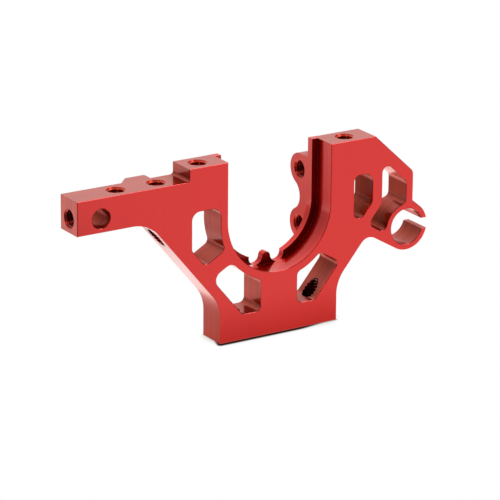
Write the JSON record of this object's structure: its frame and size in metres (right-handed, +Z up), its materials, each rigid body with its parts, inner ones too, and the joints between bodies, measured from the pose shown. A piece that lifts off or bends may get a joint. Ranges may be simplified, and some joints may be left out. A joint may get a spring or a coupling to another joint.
{
  "type": "chassis bulkhead",
  "caption": "Machined aluminium plate bulkhead: a round saddle between two towers, a drilled arm on one side and a split clamping ring on the other, screwed upright to a chassis.",
  "frame": {"origin": "centre of the base's underside, halfway through the plate", "axes": "+X along the plate towards the split ring, +Y through the plate towards the ear and the lug at the back, +Z up from the base"},
  "size_m": [0.0663, 0.0104, 0.0304],
  "materials": {
    "anodised": "red anodised, glossy, with fine machining marks on the edges"
  },
  "bodies": {
    "root": {"bulkhead": "anodised"}
  },
  "joints": []
}
